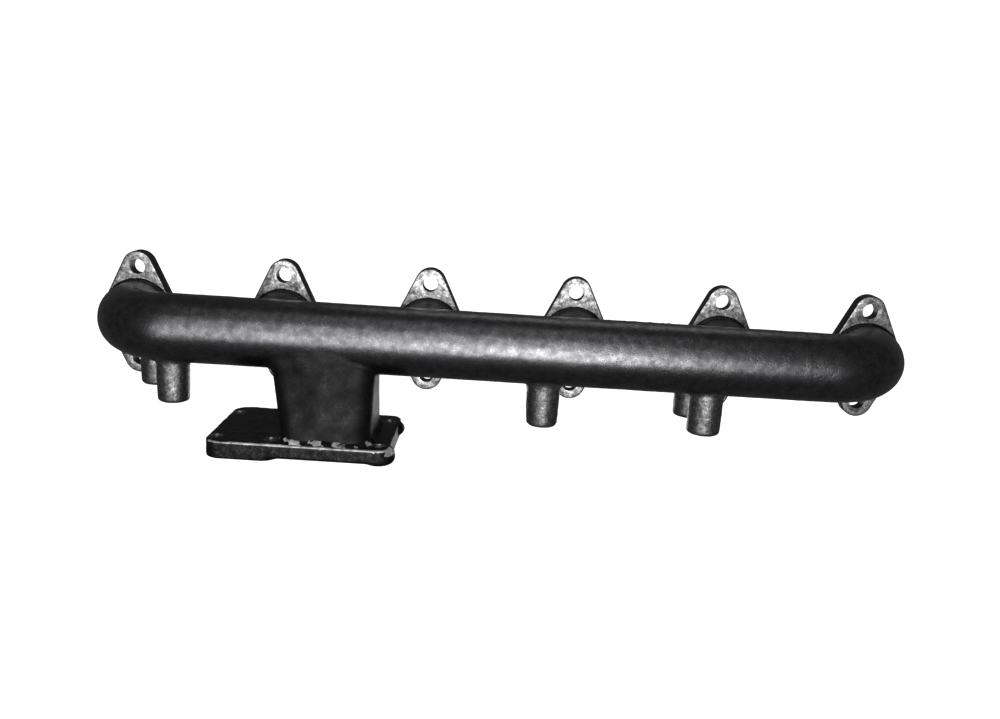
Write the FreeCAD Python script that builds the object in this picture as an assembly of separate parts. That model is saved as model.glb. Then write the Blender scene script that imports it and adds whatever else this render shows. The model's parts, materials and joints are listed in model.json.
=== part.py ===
"""Six-port log exhaust manifold, welded from tube, elbows, plate flanges and bosses.

Frame: X runs along the log from port 1 to port 6, +Y points at the cylinder head and +Z is up.
The origin is on the head face, in the middle of the bolt pattern. All sizes are millimetres.
"""
import FreeCAD, Part
import math
import os

Vector = FreeCAD.Vector
X_AXIS = Vector(1, 0, 0)
Y_AXIS = Vector(0, 1, 0)
Z_AXIS = Vector(0, 0, 1)

# Ports and head flanges
port_count = 6
port_pitch = 135.0
flange_thickness = 13.5
ear_radius = 14.4
bolt_hole_diameter = 14.0
spot_face_diameter = 20.0
spot_face_depth = 0.6
spot_face_land = 0.25          # between a spot face and the weld round the tube
rim_land = 0.35                # between the weld and the flange's side
socket_depth = 8.0
socket_clearance = 0.25        # radial, between a tube and its socket

# Tubes
log_diameter = 60.3
log_wall = 5.5
runner_reduction = 3.3         # runner diameter under the log's, so that it copes onto it
runner_wall = 5.0
bend_radius = 50.8             # centreline of the short radius elbows
weld_land = 3.0                # straight tube between a head flange and its elbow
elbow_tangent = 25.0           # straight tube between a bend and its butt weld

# Welds
flange_weld_leg = 2.5
runner_weld_leg = 3.0
riser_weld_leg = 3.5
foot_weld_leg = 4.0
boss_weld_leg = 3.0
weld_toe = 0.3                 # least thickness of a bead at its edge
butt_root_gap = 1.6
butt_groove_angle = 30.0       # each side
butt_cap_height = 0.3
least_bead_volume = 20.0       # smaller scraps of a trimmed bead are ground off

# Turbocharger flange
stud_spacing_x = 92.1
stud_spacing_y = 69.9
stud_hole_diameter = 10.5
stud_lobe_radius = 15.0
turbo_centre_x = -143.4
turbo_forward = 8.7            # pattern centre in front of the log's centreline
turbo_drop = 82.0              # log centreline down to the flange's top face
turbo_plate_thickness = 15.5   # at the joint face, the pad and the front lobe
turbo_edge_thickness = 12.0    # along the front edge and the rear lobe
front_edge_relief = 8.0        # joint face behind the front edge
turbo_rear_land = 6.0          # plate behind the rear stud lobes' edge
waist_inset = 5.0              # waist edge inside the lobes' edge
waist_corner_radius = 9.0
pad_hole_offset = 46.6         # from the left stud column
pad_end_land = 8.0             # from the pad's holes to its end
pad_overlap = 8.0              # pad past the left stud column
pad_corner_radius = 14.0

# Riser
riser_wall = 5.5
lobe_radius = 19.6             # round end of each lobe at the foot
foot_lobe_overlap = 1.6
stud_to_riser_land = 1.0       # between a stud hole's edge and the riser
foot_weld_land = 2.0           # between the foot's weld and the flange's edge
lobe_flat = 1.0                # flat left on a lobe's rounded end
riser_top_depth = 44.0
riser_top_width = 93.2
riser_top_lobe_overlap = 44.0  # the lobes part only lower down
riser_top_corner = 14.0
riser_top_shift = -9.3         # top centre from the pattern's centre, along X
riser_top_below_axis = 10.0    # top section below the log's centreline, inside the tube
web_half_width = 8.0
web_corner = 1.5
divider_thickness = 6.0

# Bosses: name, port whose centreline it is set from, offset along X, row, tip diameter,
# root diameter, tip drop
boss_tip_round = 2.5
boss_top_below_axis = 8.0
rear_boss_gap = 3.0            # between a head flange and a rear boss
boss_thread_core = 8.5         # M10 tapping size
boss_thread_depth = 20.0
bosses = [
    ("boss_front_left", 1, 51.0, "front", 27.8, 29.2, 66.0),
    ("boss_rear_left", 1, 23.4, "rear", 27.8, 29.2, 60.5),
    ("boss_middle", 4, -26.4, "front", 27.3, 31.0, 67.5),
    ("boss_front_right", 5, -18.0, "front", 29.5, 31.0, 66.0),
    ("boss_rear_right", 5, -25.0, "rear", 29.5, 31.0, 60.5),
]

# Worked out from the sizes above
log_radius = log_diameter / 2
log_bore_radius = log_radius - log_wall
runner_radius = (log_diameter - runner_reduction) / 2
runner_bore_radius = runner_radius - runner_wall
port_x = [(number - (port_count - 1) / 2) * port_pitch for number in range(port_count)]
log_y = -(flange_thickness + weld_land + bend_radius)
bend_x = port_x[-1] - bend_radius
butt_x = bend_x - elbow_tangent
weld_rim_radius = log_radius + flange_weld_leg
bolt_rise = weld_rim_radius + spot_face_land + spot_face_diameter / 2
flange_radius = weld_rim_radius + rim_land
socket_floor_y = -(flange_thickness - socket_depth)
turbo_y = log_y - turbo_forward
turbo_top_z = -turbo_drop
stud_radius = stud_hole_diameter / 2
foot_lobe_x = lobe_radius - foot_lobe_overlap / 2
plate_half_depth = stud_spacing_y / 2 + stud_lobe_radius
top_lobe_half = (riser_top_width + riser_top_lobe_overlap) / 4
top_lobe_x = riser_top_width / 2 - top_lobe_half
rear_root_diameter = max(root for _, _, _, row, _, root, _ in bosses if row == "rear")
rear_boss_y = -(flange_thickness + rear_boss_gap + rear_root_diameter / 2)


def deepest_foot():
    """Half depth of the riser's foot that clears the studs and keeps its weld on the flange."""
    stud_clearance = lobe_radius + stud_radius + stud_to_riser_land
    across = min(stud_spacing_x / 2 - foot_lobe_x, stud_clearance)
    beside_studs = stud_spacing_y / 2 - math.sqrt(stud_clearance ** 2 - across ** 2) + lobe_radius
    return min(beside_studs, plate_half_depth - foot_weld_leg - foot_weld_land)


foot_half_depth = deepest_foot()


def cylinder(radius, length, start, direction):
    return Part.makeCylinder(radius, length, start, direction)


def outline_face(edges):
    return Part.Face(Part.Wire(Part.__sortEdges__(edges)))


def without_scraps(bead):
    return Part.makeCompound([solid for solid in bead.Solids if solid.Volume > least_bead_volume])


def line(start, end):
    return Part.LineSegment(start, end).toShape()


def arc(start, middle, end):
    return Part.Arc(start, middle, end).toShape()


# Solid bars of the tubes' outer shape, grown by a weld's leg where one is wanted

def log_bar(grow=0.0):
    return cylinder(log_radius + grow, 2 * butt_x, Vector(-butt_x, log_y, 0), X_AXIS)


def runner_bar(x, grow=0.0):
    return cylinder(runner_radius + grow, -log_y + socket_floor_y, Vector(x, log_y, 0), Y_AXIS)


def elbow_bar(side, radius, end_y=socket_floor_y):
    """One elbow with its straight ends: side is 1 for port 6 and -1 for port 1."""
    straight = cylinder(radius, elbow_tangent, Vector(butt_x, log_y, 0), X_AXIS)
    section = Part.Face(Part.Wire(Part.makeCircle(radius, Vector(bend_x, log_y, 0), X_AXIS)))
    bend = section.revolve(Vector(bend_x, log_y + bend_radius, 0), Z_AXIS, 90)
    stub_y = log_y + bend_radius
    stub = cylinder(radius, end_y - stub_y, Vector(port_x[-1], stub_y, 0), Y_AXIS)
    bar = straight.fuse([bend, stub]).removeSplitter()
    if side < 0:
        bar = bar.mirror(Vector(0, 0, 0), X_AXIS)
    return bar


def tube_skin(grow=0.0):
    """Every tube as one solid bar, which welds, bosses and the riser are fitted to."""
    bars = [elbow_bar(side, log_radius + grow) for side in (-1, 1)]
    bars += [runner_bar(x, grow) for x in port_x[1:-1]]
    return log_bar(grow).fuse(bars)


# Head flanges

def lozenge(radius, small_radius, rise):
    """A round plate drawn out to an ear above and below, in the head face."""
    slope = math.asin((radius - small_radius) / rise)
    side = Vector(math.cos(slope), 0, math.sin(slope))
    edges = []
    for up in (1, -1):
        for right in (1, -1):
            normal = Vector(right * side.x, 0, up * side.z)
            edges.append(line(normal * radius, normal * small_radius + Vector(0, 0, up * rise)))
        ear = Vector(0, 0, up * rise)
        left = Vector(-side.x, 0, up * side.z) * small_radius
        right_end = Vector(side.x, 0, up * side.z) * small_radius
        edges.append(arc(ear + left, ear + Vector(0, 0, up * small_radius), ear + right_end))
    for right in (1, -1):
        top = Vector(right * side.x, 0, side.z) * radius
        bottom = Vector(right * side.x, 0, -side.z) * radius
        edges.append(arc(top, Vector(right * radius, 0, 0), bottom))
    return outline_face(edges)


def port_flange(x, tube_radius, bore_radius):
    plate = lozenge(flange_radius, ear_radius, bolt_rise).extrude(Vector(0, -flange_thickness, 0))
    front = Vector(0, -flange_thickness, 0)
    cuts = [cylinder(bore_radius, flange_thickness, front, Y_AXIS)]
    cuts.append(cylinder(tube_radius + socket_clearance, socket_depth, front, Y_AXIS))
    for up in (1, -1):
        hole = front + Vector(0, 0, up * bolt_rise)
        cuts.append(cylinder(bolt_hole_diameter / 2, flange_thickness, hole, Y_AXIS))
        cuts.append(cylinder(spot_face_diameter / 2, spot_face_depth, hole, Y_AXIS))
    flange = plate.cut(cuts)
    flange.translate(Vector(x, 0, 0))
    return flange


def flange_weld(x, tube_radius):
    """Fillet weld round a tube at a head flange's outer face."""
    toe = Vector(x, -flange_thickness, 0)
    wide = tube_radius + flange_weld_leg
    narrow = tube_radius + weld_toe
    cone = Part.makeCone(wide, narrow, flange_weld_leg, toe, Vector(0, -1, 0))
    return cone.cut(cylinder(tube_radius, flange_weld_leg, toe, Vector(0, -1, 0)))


# Log, elbows and runners

def butt_weld(side):
    """Groove weld between the log and an elbow, with a low dressed cap."""
    root = butt_root_gap / 2
    mouth = root + log_wall * math.tan(math.radians(butt_groove_angle))
    points = [
        Vector(-root, log_bore_radius, 0),
        Vector(-mouth, log_radius, 0),
        Vector(0, log_radius + butt_cap_height, 0),
        Vector(mouth, log_radius, 0),
        Vector(root, log_bore_radius, 0),
    ]
    edges = [line(points[0], points[1]), arc(points[1], points[2], points[3])]
    edges += [line(points[3], points[4]), line(points[4], points[0])]
    ring = outline_face(edges).revolve(Vector(0, 0, 0), X_AXIS, 360)
    ring.translate(Vector(side * butt_x, log_y, 0))
    return ring


def log_pipe(cavity, butt_welds):
    tube = log_bar().cut(cylinder(log_bore_radius, 2 * butt_x, Vector(-butt_x, log_y, 0), X_AXIS))
    openings = [
        cylinder(runner_bore_radius, log_radius, Vector(x, log_y, 0), Y_AXIS)
        for x in port_x[1:-1]
    ]
    return tube.cut(openings + [cavity] + butt_welds)


def end_elbow(side, weld):
    return elbow_bar(side, log_radius).cut([elbow_bar(side, log_bore_radius), weld])


def runner(x, cavity):
    length = -log_y + socket_floor_y
    bore = cylinder(runner_bore_radius, length, Vector(x, log_y, 0), Y_AXIS)
    return runner_bar(x).cut([bore, log_bar(), cavity])


def runner_weld(x):
    collar = runner_bar(x, runner_weld_leg).common(log_bar(runner_weld_leg))
    return collar.cut([runner_bar(x), log_bar()])


# Riser

def rounded_rectangle(centre, half_x, half_y, corner):
    """A level rectangle with round corners, as one closed wire."""
    edges = []
    inner_x = half_x - corner
    inner_y = half_y - corner
    diagonal = corner * math.sqrt(0.5)
    for sx, sy in ((1, 1), (-1, 1), (-1, -1), (1, -1)):
        pivot = centre + Vector(sx * inner_x, sy * inner_y, 0)
        side_end = pivot + Vector(sx * corner, 0, 0)
        end_end = pivot + Vector(0, sy * corner, 0)
        edges.append(arc(side_end, pivot + Vector(sx * diagonal, sy * diagonal, 0), end_end))
    for sign in (1, -1):
        far_y = Vector(0, sign * half_y, 0)
        far_x = Vector(sign * half_x, 0, 0)
        edges.append(line(centre + far_y - X_AXIS * inner_x, centre + far_y + X_AXIS * inner_x))
        edges.append(line(centre + far_x - Y_AXIS * inner_y, centre + far_x + Y_AXIS * inner_y))
    return Part.Wire(Part.__sortEdges__(edges))


def foot_centre(z=turbo_top_z):
    return Vector(turbo_centre_x, turbo_y, z)


def top_centre():
    return Vector(turbo_centre_x + riser_top_shift, log_y, -riser_top_below_axis)


def foot_lobe_wire(side, grow, z=turbo_top_z):
    centre = foot_centre(z) + Vector(side * foot_lobe_x, 0, 0)
    half = lobe_radius + grow
    return rounded_rectangle(centre, half, foot_half_depth + grow, half - lobe_flat / 2)


def top_lobe_wire(side, grow):
    centre = top_centre() + Vector(side * top_lobe_x, 0, 0)
    half_depth = riser_top_depth / 2 + grow
    return rounded_rectangle(centre, top_lobe_half + grow, half_depth, riser_top_corner + grow)


def riser_bar(grow=0.0):
    """Two lofted lobes side by side, which open out towards the foot."""
    lobes = [
        Part.makeLoft([foot_lobe_wire(side, grow), top_lobe_wire(side, grow)], True, True)
        for side in (-1, 1)
    ]
    return lobes[0].fuse(lobes[1])


def valley_half_depth(lobe_x, half_x, half_y, corner):
    """Half depth of the duct at its middle, where the two lobes meet."""
    across = max(lobe_x - (half_x - corner), 0.0)
    return half_y - corner + math.sqrt(corner ** 2 - across ** 2)


def web_space(half_width, top_z=None):
    """The space between the two passages, walled by the valleys in front and behind."""
    foot_depth = valley_half_depth(
        foot_lobe_x, lobe_radius, foot_half_depth, lobe_radius - lobe_flat / 2)
    top_depth = valley_half_depth(
        top_lobe_x, top_lobe_half, riser_top_depth / 2, riser_top_corner)
    corner = min(web_corner, half_width / 2)
    foot = rounded_rectangle(foot_centre(), half_width, foot_depth - riser_wall, corner)
    top = rounded_rectangle(top_centre(), half_width, top_depth - riser_wall, corner)
    space = Part.makeLoft([foot, top], True, True)
    if top_z is not None:
        reach = riser_top_width + stud_spacing_x
        corner_point = foot_centre(top_z) - Vector(reach / 2, reach / 2, 0)
        space = space.cut(Part.makeBox(reach, reach, turbo_drop, corner_point))
    return space


def riser_cavity():
    return riser_bar(-riser_wall).fuse(web_space(web_half_width))


def outlet_riser(outer, cavity, skin, neighbours):
    return outer.cut([cavity, skin] + neighbours)


def riser_divider():
    return web_space(divider_thickness / 2, -log_bore_radius)


def riser_saddle_weld(outer, skin, weld_skin, neighbours):
    collar = riser_bar(riser_weld_leg).common(weld_skin)
    return collar.cut([outer, skin] + neighbours)


def riser_foot_weld(outer):
    """Fillet weld round the foot, cut back where the nuts sit."""
    top_z = turbo_top_z + foot_weld_leg
    lobes = [
        Part.makeLoft(
            [foot_lobe_wire(side, foot_weld_leg), foot_lobe_wire(side, weld_toe, top_z)], True, True)
        for side in (-1, 1)
    ]
    clear_radius = stud_radius + stud_to_riser_land / 2
    clear = [cylinder(clear_radius, foot_weld_leg, point, Z_AXIS) for point in stud_points()]
    return lobes[0].fuse(lobes[1]).cut([outer] + clear)


# Turbocharger flange

def stud_points():
    points = []
    for right in (-1, 1):
        for back in (-1, 1):
            offset = Vector(right * stud_spacing_x / 2, back * stud_spacing_y / 2, 0)
            points.append(foot_centre() + offset)
    return points


def pad_points():
    x = -stud_spacing_x / 2 - pad_hole_offset
    return [foot_centre() + Vector(x, back * stud_spacing_y / 2, 0) for back in (-1, 1)]


def level_plate(low_x, high_x, low_y, thickness, corner):
    """A plate hung from the flange's top face, as deep as its rear edge allows."""
    high_y = turbo_y + plate_half_depth + turbo_rear_land
    middle = Vector((low_x + high_x) / 2, (low_y + high_y) / 2, turbo_top_z)
    wire = rounded_rectangle(middle, (high_x - low_x) / 2, (high_y - low_y) / 2, corner)
    return Part.Face(wire).extrude(Vector(0, 0, -thickness))


def turbo_flange(cavity_foot):
    """The plate, its joint face and pad, and the two stud lobes that stand out on the right."""
    down = Vector(0, 0, -1)
    front_y = turbo_y - plate_half_depth
    left_column = turbo_centre_x - stud_spacing_x / 2
    right_column = turbo_centre_x + stud_spacing_x / 2
    waist_x = right_column + stud_lobe_radius - waist_inset
    pad_end = left_column - pad_hole_offset - pad_end_land
    full = turbo_plate_thickness
    edge = level_plate(pad_end, waist_x, front_y, turbo_edge_thickness, pad_corner_radius)
    bodies = [
        level_plate(turbo_centre_x, waist_x, front_y, turbo_edge_thickness, waist_corner_radius),
        level_plate(left_column, waist_x, front_y + front_edge_relief, full, waist_corner_radius),
        level_plate(pad_end, left_column + pad_overlap, front_y, full, pad_corner_radius),
    ]
    for point in stud_points():
        if point.x > turbo_centre_x:
            thickness = full if point.y < turbo_y else turbo_edge_thickness
            bodies.append(cylinder(stud_lobe_radius, thickness, point, down))
    holes = [cylinder(stud_radius, full, point, down) for point in stud_points() + pad_points()]
    return edge.fuse(bodies).removeSplitter().cut(holes + [cavity_foot])


def flange_passages():
    """The two gas passages through the turbocharger flange."""
    passages = [
        Part.Face(foot_lobe_wire(side, -riser_wall)).extrude(Vector(0, 0, -turbo_plate_thickness))
        for side in (-1, 1)
    ]
    half = divider_thickness / 2
    corner = foot_centre(turbo_top_z - turbo_plate_thickness) - Vector(half, stud_spacing_y, 0)
    web = Part.makeBox(divider_thickness, 2 * stud_spacing_y, turbo_plate_thickness, corner)
    return passages[0].fuse(passages[1]).cut(web)


# Bosses

def boss_place(port, offset, row, tip_drop):
    y = log_y if row == "front" else rear_boss_y
    return Vector(port_x[port - 1] + offset, y, -tip_drop)


def boss_bar(tip, diameters, grow=0.0):
    """A boss's tapered bar: diameters are those of its tip and its root."""
    height = -boss_top_below_axis - tip.z
    radii = [diameter / 2 + grow for diameter in diameters]
    return Part.makeCone(radii[0], radii[1], height, tip, Z_AXIS)


def boss(tip, diameters, skin, neighbours):
    bar = boss_bar(tip, diameters)
    tip_edge = min(bar.Edges, key=lambda edge: edge.BoundBox.ZMax)
    bar = bar.makeFillet(boss_tip_round, [tip_edge])
    core = cylinder(boss_thread_core / 2, boss_thread_depth, tip, Z_AXIS)
    return bar.cut([core, skin] + neighbours)


def boss_weld(tip, diameters, skin, weld_skin, neighbours):
    collar = boss_bar(tip, diameters, boss_weld_leg).common(weld_skin)
    return without_scraps(collar.cut([boss_bar(tip, diameters), skin] + neighbours))


def build():
    """Every piece by name."""
    pieces = {}
    skin = tube_skin()
    butt_welds = [butt_weld(side) for side in (-1, 1)]
    cavity = riser_cavity()
    outer = riser_bar()
    pieces["log_pipe"] = log_pipe(cavity, butt_welds)
    for name, side, weld in zip(("left", "right"), (-1, 1), butt_welds):
        pieces["end_elbow_" + name] = end_elbow(side, weld)
        pieces["elbow_butt_weld_" + name] = weld
    for number, x in enumerate(port_x, start=1):
        at_end = number in (1, port_count)
        tube_radius = log_radius if at_end else runner_radius
        bore_radius = log_bore_radius if at_end else runner_bore_radius
        pieces["port_flange_%d" % number] = port_flange(x, tube_radius, bore_radius)
        pieces["flange_weld_%d" % number] = flange_weld(x, tube_radius)
        if not at_end:
            pieces["runner_%d" % number] = runner(x, cavity)
            pieces["runner_weld_%d" % number] = runner_weld(x).cut(outer)
    runner_welds = [shape for name, shape in pieces.items() if name.startswith("runner_weld_")]
    flange_welds = [shape for name, shape in pieces.items() if name.startswith("flange_weld_")]
    pieces["outlet_riser"] = outlet_riser(outer, cavity, skin, runner_welds)
    pieces["riser_divider"] = riser_divider()
    pieces["turbo_flange"] = turbo_flange(flange_passages())
    pieces["riser_foot_weld"] = riser_foot_weld(outer)
    riser_weld_skin = tube_skin(riser_weld_leg)
    pieces["riser_saddle_weld"] = riser_saddle_weld(outer, skin, riser_weld_skin, runner_welds)
    boss_weld_skin = tube_skin(boss_weld_leg)
    placed = list(runner_welds)
    for name, port, offset, row, tip_diameter, root_diameter, tip_drop in bosses:
        tip = boss_place(port, offset, row, tip_drop)
        diameters = (tip_diameter, root_diameter)
        pieces[name] = boss(tip, diameters, skin, placed)
        neighbours = placed + flange_welds + butt_welds
        weld = boss_weld(tip, diameters, skin, boss_weld_skin, neighbours)
        pieces[name.replace("boss_", "boss_weld_")] = weld
        placed += [pieces[name], weld]
    return pieces


os.makedirs("parts", exist_ok=True)
for node, shape in build().items():
    shape.exportStep("parts/%s.step" % node)
    box = shape.BoundBox
    print("%-24s solids %d valid %s volume %9.0f  x %.1f..%.1f y %.1f..%.1f z %.1f..%.1f" % (
        node, len(shape.Solids), shape.isValid(), shape.Volume,
        box.XMin, box.XMax, box.YMin, box.YMax, box.ZMin, box.ZMax))
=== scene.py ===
"""Looks of a six-port log exhaust manifold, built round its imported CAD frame.

X runs along the log from port 1 to port 6, +Y points at the cylinder head and +Z is up. All sizes are metres.
"""
import json
import logging
import math
import random
from collections.abc import Callable, Iterable
from dataclasses import dataclass, field
from enum import Enum

import bpy
from mathutils import Matrix, Vector, noise


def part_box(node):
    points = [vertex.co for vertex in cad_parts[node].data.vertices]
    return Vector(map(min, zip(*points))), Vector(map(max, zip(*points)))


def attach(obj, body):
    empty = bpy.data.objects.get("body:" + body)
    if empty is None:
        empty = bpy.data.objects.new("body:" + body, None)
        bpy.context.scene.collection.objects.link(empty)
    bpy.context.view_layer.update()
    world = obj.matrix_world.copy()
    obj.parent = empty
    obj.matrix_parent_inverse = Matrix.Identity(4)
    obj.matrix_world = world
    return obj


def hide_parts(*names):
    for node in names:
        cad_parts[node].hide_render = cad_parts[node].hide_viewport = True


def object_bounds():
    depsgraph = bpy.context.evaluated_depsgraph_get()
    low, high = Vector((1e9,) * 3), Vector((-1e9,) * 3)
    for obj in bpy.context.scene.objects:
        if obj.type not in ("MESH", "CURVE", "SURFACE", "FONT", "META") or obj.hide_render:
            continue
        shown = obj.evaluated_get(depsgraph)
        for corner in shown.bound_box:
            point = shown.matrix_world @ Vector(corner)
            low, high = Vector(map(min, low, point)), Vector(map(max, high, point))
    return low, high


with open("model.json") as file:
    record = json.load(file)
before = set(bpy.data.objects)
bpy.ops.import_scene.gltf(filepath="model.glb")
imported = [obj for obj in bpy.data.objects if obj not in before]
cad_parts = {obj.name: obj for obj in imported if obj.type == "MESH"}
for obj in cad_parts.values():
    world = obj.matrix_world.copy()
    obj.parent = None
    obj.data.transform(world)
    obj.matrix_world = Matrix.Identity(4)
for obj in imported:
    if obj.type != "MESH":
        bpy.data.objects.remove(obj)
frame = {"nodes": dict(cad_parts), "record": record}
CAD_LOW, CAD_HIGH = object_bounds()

MM = 0.001
BODY = "root"
SEED = 7
ADD, SUBTRACT, MULTIPLY = ({"operation": name} for name in ("ADD", "SUBTRACT", "MULTIPLY"))
MIX_COLOURS = {"data_type": "RGBA"}    # its inputs are 0, 6 and 7 and its output is 2
log = logging.getLogger("manifold")


# Selecting, applying and handing over

def deselect() -> None:
    """Leaves object mode with nothing selected."""
    if bpy.context.object and bpy.context.object.mode != "OBJECT":
        bpy.ops.object.mode_set(mode="OBJECT")
    bpy.ops.object.select_all(action="DESELECT")


def pick(piece: bpy.types.Object) -> None:
    """Makes a piece the only selected and the active object."""
    deselect()
    piece.select_set(True)
    bpy.context.view_layer.objects.active = piece


def settle(piece: bpy.types.Object) -> None:
    """Moves a piece's place, turn and scale into its mesh."""
    pick(piece)
    bpy.ops.object.transform_apply(location=True, rotation=True, scale=True)


def modify(piece: bpy.types.Object, kind: str, **settings: object) -> None:
    """Adds a modifier and applies it at once.

    Args:
        piece: The object to change.
        kind: The modifier's type, as Blender names it.
        settings: The modifier's settings by name.
    """
    pick(piece)
    modifier = piece.modifiers.new(kind.lower(), kind)
    for name, value in settings.items():
        setattr(modifier, name, value)
    bpy.ops.object.modifier_apply(modifier=modifier.name)


def discard(piece: bpy.types.Object) -> None:
    """Removes an object and its mesh."""
    mesh = piece.data
    bpy.data.objects.remove(piece)
    bpy.data.meshes.remove(mesh)


def cut(piece: bpy.types.Object, tool: bpy.types.Object, operation: str = "DIFFERENCE") -> None:
    """Cuts or joins a piece with another, and removes the other."""
    modify(piece, "BOOLEAN", object=tool, operation=operation, solver="MANIFOLD")
    discard(tool)


def edit_where(piece: bpy.types.Object, kind: str, wanted: Callable[[object], bool]) -> None:
    """Enters edit mode with only the wanted elements selected.

    Args:
        piece: The object to edit.
        kind: VERT, EDGE or FACE.
        wanted: Says whether a vertex, an edge or a face is selected.
    """
    pick(piece)
    bpy.ops.object.mode_set(mode="EDIT")
    bpy.ops.mesh.select_mode(type=kind)
    bpy.ops.mesh.select_all(action="DESELECT")
    bpy.ops.object.mode_set(mode="OBJECT")
    mesh = piece.data
    elements = {"VERT": mesh.vertices, "EDGE": mesh.edges, "FACE": mesh.polygons}[kind]
    for element in elements:
        element.select = bool(wanted(element))
    bpy.ops.object.mode_set(mode="EDIT")


def climb(mesh: bpy.types.Mesh, edge: bpy.types.MeshEdge) -> float:
    """How far an edge rises from one end to the other."""
    first, second = (mesh.vertices[i].co.z for i in edge.vertices)
    return abs(first - second)


def done_editing() -> None:
    """Returns to object mode."""
    bpy.ops.object.mode_set(mode="OBJECT")


def mend_normals(piece: bpy.types.Object) -> None:
    """Merges doubles and turns every face outwards."""
    edit_where(piece, "VERT", lambda vertex: True)
    bpy.ops.mesh.remove_doubles(threshold=0.002 * MM)
    bpy.ops.mesh.normals_make_consistent(inside=False)
    done_editing()


def duplicate(piece: bpy.types.Object, name: str) -> bpy.types.Object:
    """Copies a piece with a mesh of its own."""
    pick(piece)
    bpy.ops.object.duplicate(linked=False)
    copy = bpy.context.object
    copy.name = name
    copy.data.name = name
    return copy


def merged_copy(node: str) -> bpy.types.Object:
    """Copies a CAD node's mesh as one closed, merged mesh that is no longer tied to the CAD node."""
    source = frame["nodes"][node]
    copy = bpy.data.objects.new("work_" + node, source.data.copy())
    bpy.context.scene.collection.objects.link(copy)
    copy.data.materials.clear()
    pick(copy)
    bpy.ops.object.mode_set(mode="EDIT")
    bpy.ops.mesh.select_all(action="SELECT")
    bpy.ops.mesh.remove_doubles(threshold=0.01 * MM)
    bpy.ops.mesh.customdata_custom_splitnormals_clear()
    bpy.ops.object.mode_set(mode="OBJECT")
    return copy


def smooth(piece: bpy.types.Object, angle: float = 40.0) -> None:
    """Shades a piece smooth, with edges sharper than the angle in degrees left crisp."""
    pick(piece)
    bpy.ops.object.shade_smooth_by_angle(angle=math.radians(angle))


def hand_over(piece: bpy.types.Object, name: str, nodes: Iterable[str]) -> None:
    """Ties a finished piece to the frame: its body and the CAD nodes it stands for."""
    piece.name = name
    piece.data.name = name
    settle(piece)
    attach(piece, BODY)
    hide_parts(*nodes)
    log.info("%s: %d faces, stands for %s", name, len(piece.data.polygons), ", ".join(nodes))


# Finishes

def linear(hex_colour: str) -> tuple[float, float, float, float]:
    """Turns an sRGB hex colour into the linear values that a shader takes."""
    parts = [int(hex_colour[i:i + 2], 16) / 255 for i in (1, 3, 5)]
    red, green, blue = (c / 12.92 if c <= 0.04045 else ((c + 0.055) / 1.055) ** 2.4 for c in parts)
    return red, green, blue, 1.0


def new_material(name: str) -> tuple[bpy.types.Material, bpy.types.NodeTree]:
    """Adds a node material with an empty tree, and returns both."""
    material = bpy.data.materials.new(name)
    material.use_nodes = True
    material.node_tree.nodes.clear()
    return material, material.node_tree


def add(tree: bpy.types.NodeTree, kind: str, settings: dict | None = None,
        inputs: dict | tuple = ()) -> bpy.types.Node:
    """Adds a node with its settings, and its inputs as values or links.

    Args:
        tree: The material's node tree.
        kind: The node's type without the ShaderNode prefix.
        settings: Properties of the node by name.
        inputs: Input values by name or number, or in order; a socket is linked instead.

    Returns:
        The new node.
    """
    node = tree.nodes.new("ShaderNode" + kind)
    for name, value in (settings or {}).items():
        setattr(node, name, value)
    for name, value in inputs.items() if isinstance(inputs, dict) else enumerate(inputs):
        if isinstance(value, bpy.types.NodeSocket):
            tree.links.new(value, node.inputs[name])
        else:
            node.inputs[name].default_value = value
    return node


def per_metre(size_mm: float) -> float:
    """The noise scale that gives features of a size in millimetres."""
    return 1.0 / (size_mm * MM)


def grain(tree: bpy.types.NodeTree, place: bpy.types.NodeSocket, size_mm: float, detail: float = 3.0,
          low: float = 0.35, high: float = 0.65) -> bpy.types.NodeSocket:
    """A mottled pattern of a real feature size, stretched so that low becomes 0 and high becomes 1."""
    pattern = add(tree, "TexNoise", inputs={"Vector": place, "Scale": per_metre(size_mm), "Detail": detail})
    return add(tree, "MapRange", inputs=(pattern.outputs["Fac"], low, high, 0.0, 1.0)).outputs[0]


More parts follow.
